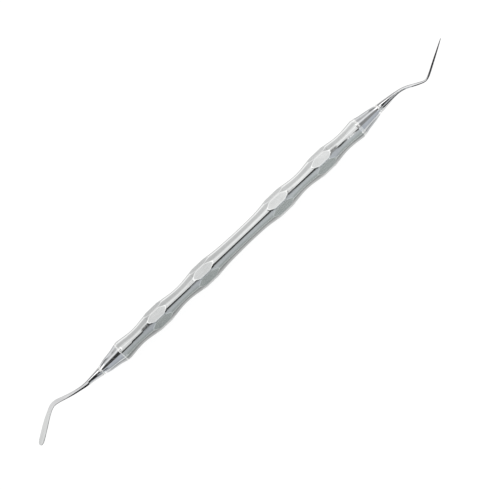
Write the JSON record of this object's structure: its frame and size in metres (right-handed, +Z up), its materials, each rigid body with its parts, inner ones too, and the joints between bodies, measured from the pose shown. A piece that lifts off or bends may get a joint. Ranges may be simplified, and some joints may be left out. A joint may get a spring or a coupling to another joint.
{
  "type": "dental explorer",
  "caption": "Double-ended dental hand instrument: hollow faceted steel handle with nose cones, a curved explorer point at one end and a flat spatula blade at the other.",
  "frame": {"origin": "under the middle of the whole outline, on the surface that the instrument lies on", "axes": "+X along the handle towards the explorer point, +Z up, away from the surface it lies on; both working ends bend in the plane parallel to that surface"},
  "size_m": [0.1769, 0.0078, 0.0069],
  "materials": {
    "handle_steel": "fine satin stainless steel with bright polished ridges",
    "nose_steel": "polished stainless steel",
    "braze": "bright filled seam",
    "filler": "bright polished filler metal",
    "working_end_steel": "mirror polished hardened stainless steel",
    "blade_steel": "mirror polished shank, fine satin blade"
  },
  "bodies": {
    "root": {"handle_sleeve": "handle_steel", "explorer_nose_cone": "nose_steel", "spatula_nose_cone": "nose_steel", "explorer_seam_ring": "braze", "spatula_seam_ring": "braze", "explorer_filler_ring": "filler", "spatula_filler_ring": "filler", "explorer_point": "working_end_steel", "spatula_blade": "blade_steel"}
  },
  "joints": []
}
